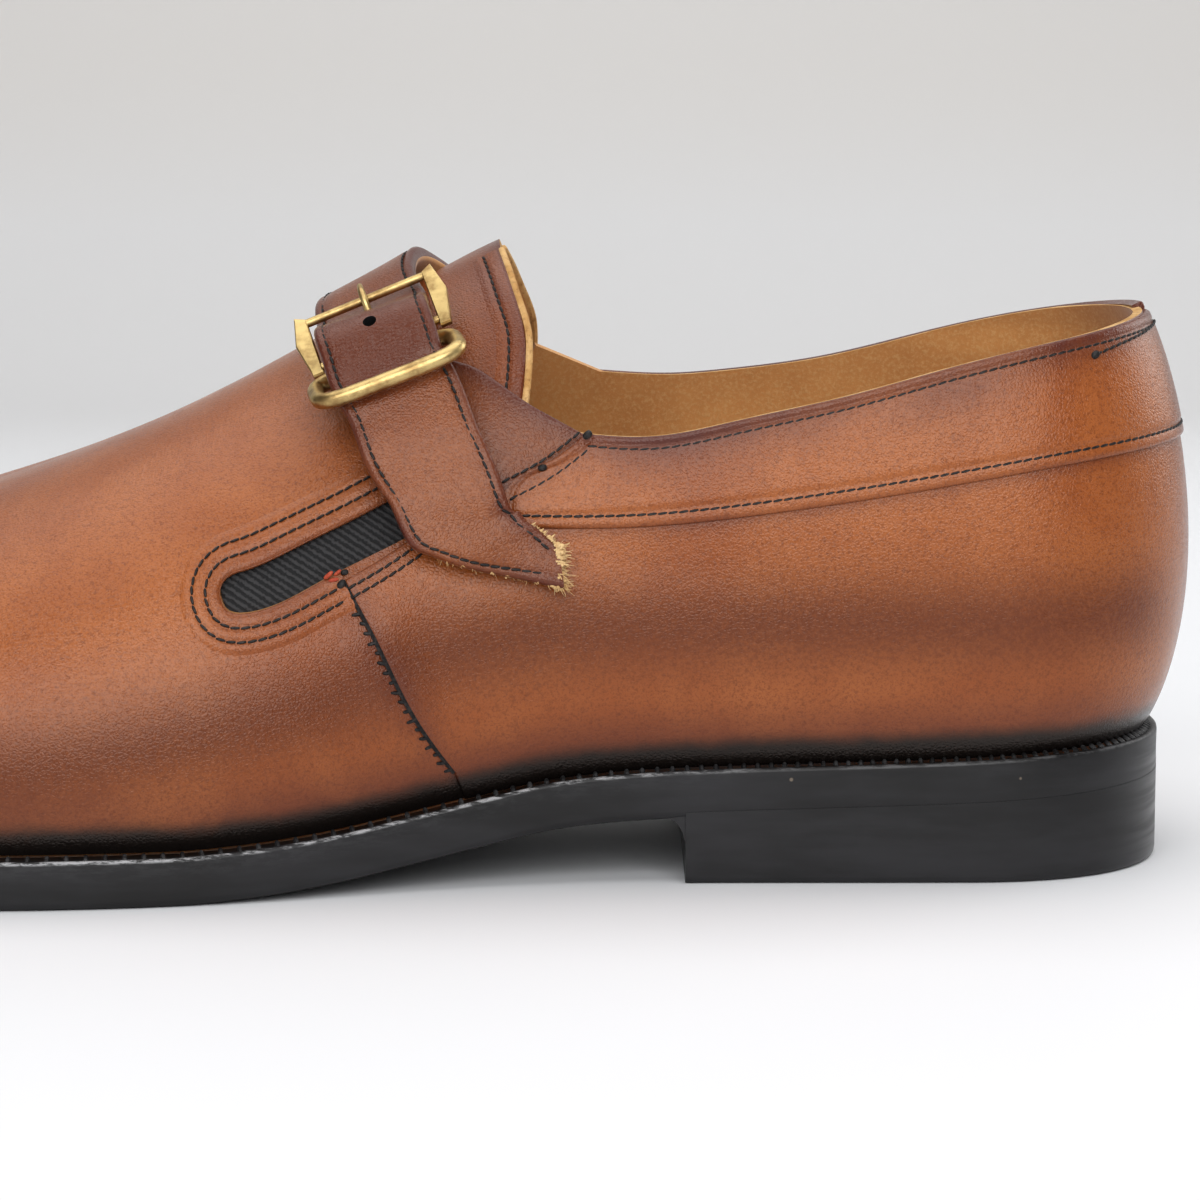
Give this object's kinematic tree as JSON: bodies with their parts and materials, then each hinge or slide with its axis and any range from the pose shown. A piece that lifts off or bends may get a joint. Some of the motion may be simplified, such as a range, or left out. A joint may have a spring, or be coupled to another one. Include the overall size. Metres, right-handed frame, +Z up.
{
  "type": "monk strap loafer",
  "caption": "Left slip-on dress shoe with a long strap over the instep, buckled on the outer side and tucked through a ring, elastic gussets and a low block heel.",
  "frame": {"origin": "middle of the bounding box's base, on the floor under the sole", "axes": "+Z up, toe toward -X, heel toward +X, outer (lateral) side toward -Y"},
  "size_m": [0.3044, 0.1074, 0.1028],
  "materials": {
    "leather_tan": "burnished tan calf, satin",
    "lining_tan": "matt suede-like lining",
    "sole_black": "black, satin edge",
    "elastic_black": "ribbed elastic",
    "brass": "brushed"
  },
  "bodies": {
    "root": {"outsole": "sole_black", "heel": "sole_black", "welt": "sole_black", "insole": "lining_tan", "upper": "leather_tan", "gore_lateral": "elastic_black", "gore_medial": "elastic_black", "strap": "leather_tan", "buckle_tab": "leather_tan", "buckle_frame": "brass", "buckle_prong": "brass", "keeper_ring": "brass"}
  },
  "joints": []
}
